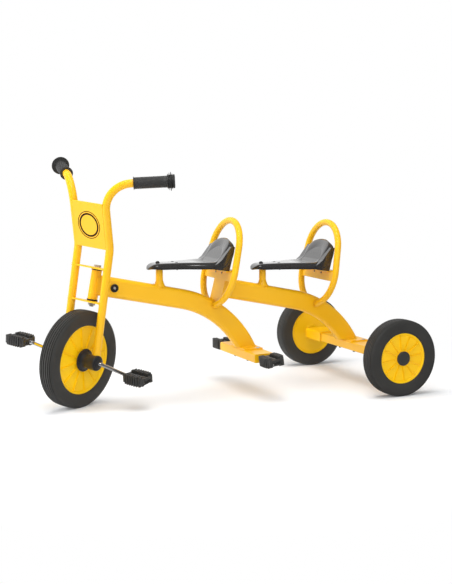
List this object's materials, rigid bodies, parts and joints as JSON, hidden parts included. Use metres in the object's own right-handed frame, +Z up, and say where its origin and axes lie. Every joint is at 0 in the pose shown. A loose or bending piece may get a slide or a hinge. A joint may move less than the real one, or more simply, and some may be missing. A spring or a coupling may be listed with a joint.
{
  "type": "two-seat tricycle",
  "caption": "Child's tandem tricycle: low painted tube frame with saddle seats in line, grab hoops behind them, raked fork with swept handlebar, pedal front wheel, foot rests",
  "frame": {"origin": "on the ground under the middle of the tricycle's bounding box, as parked", "axes": "+X forward (front wheel), +Y to the riders' left, +Z up"},
  "size_m": [1.1598, 0.575, 0.6806],
  "materials": {
    "frame_paint": "gloss yellow powder coat",
    "wheel_plastic": "gloss yellow moulding",
    "black_plastic": "satin black moulding",
    "tyre": "black, grooved tread",
    "grip_rubber": "black, ribbed",
    "bright_steel": "zinc plated"
  },
  "bodies": {
    "frame": {"front_beam": "frame_paint", "rear_beam": "frame_paint", "head_tube": "frame_paint", "head_bushings": "black_plastic", "seat_front": "black_plastic", "seat_rear": "black_plastic", "seat_post_front": "frame_paint", "seat_post_rear": "frame_paint", "hoop_front": "frame_paint", "hoop_rear": "frame_paint", "seat_bracket_front": "frame_paint", "seat_bracket_rear": "frame_paint", "footrest_bar": "frame_paint", "rear_axle_bar": "frame_paint", "footrest_mount_plate": "frame_paint", "rear_axle_mount_plate": "frame_paint", "axle_bracket_left": "frame_paint", "axle_bracket_right": "frame_paint", "rear_axle_shaft": "bright_steel", "footrest_spindle": "bright_steel", "steering_stops": "black_plastic"},
    "steering": {"fork_tube_left": "frame_paint", "fork_tube_right": "frame_paint", "front_plate": "frame_paint", "upper_yoke": "frame_paint", "lower_yoke": "frame_paint", "steering_bolt": "bright_steel", "grip_left": "grip_rubber", "grip_right": "grip_rubber", "axle_housing_left": "black_plastic", "axle_housing_right": "black_plastic"},
    "front_wheel": {"front_tyre": "tyre", "front_rim": "wheel_plastic", "hub_flanges": "black_plastic", "crank": "bright_steel"},
    "pedal_left": {"pedal_left": "black_plastic"},
    "pedal_right": {"pedal_right": "black_plastic"},
    "footrest_pedal_left": {"footrest_pedal_left": "black_plastic"},
    "footrest_pedal_right": {"footrest_pedal_right": "black_plastic"},
    "rear_wheel_left": {"rear_tyre_left": "tyre", "rear_rim_left": "wheel_plastic", "hub_cap_left": "black_plastic"},
    "rear_wheel_right": {"rear_tyre_right": "tyre", "rear_rim_right": "wheel_plastic", "hub_cap_right": "black_plastic"}
  },
  "joints": [
    {"name": "steering", "type": "hinge", "parent": "frame", "child": "steering", "pos_m": [0.35106, 0, 0.3355], "axis": [-0.1822, 0, 0.9833], "range_deg": [-85, 25]},
    {"name": "front_wheel_spin", "type": "hinge", "parent": "steering", "child": "front_wheel", "pos_m": [0.40286, 0.00835, 0.1354], "axis": [-0.4916, 0.866, -0.0911], "continuous": true},
    {"name": "pedal_left_spin", "type": "hinge", "parent": "front_wheel", "child": "pedal_left", "pos_m": [0.2651, 0.09577, 0.08532], "axis": [-0.4916, 0.866, -0.0911], "continuous": true},
    {"name": "pedal_right_spin", "type": "hinge", "parent": "front_wheel", "child": "pedal_right", "pos_m": [0.54062, -0.07907, 0.18549], "axis": [-0.4916, 0.866, -0.0911], "continuous": true},
    {"name": "footrest_pedal_left_spin", "type": "hinge", "parent": "frame", "child": "footrest_pedal_left", "pos_m": [-0.11294, 0.1565, 0.1125], "axis": [0, 1, 0], "continuous": true},
    {"name": "footrest_pedal_right_spin", "type": "hinge", "parent": "frame", "child": "footrest_pedal_right", "pos_m": [-0.11294, -0.1565, 0.1125], "axis": [0, 1, 0], "continuous": true},
    {"name": "rear_wheel_left_spin", "type": "hinge", "parent": "frame", "child": "rear_wheel_left", "pos_m": [-0.46994, 0.2615, 0.11], "axis": [0, 1, 0], "continuous": true},
    {"name": "rear_wheel_right_spin", "type": "hinge", "parent": "frame", "child": "rear_wheel_right", "pos_m": [-0.46994, -0.2615, 0.11], "axis": [0, 1, 0], "continuous": true}
  ]
}
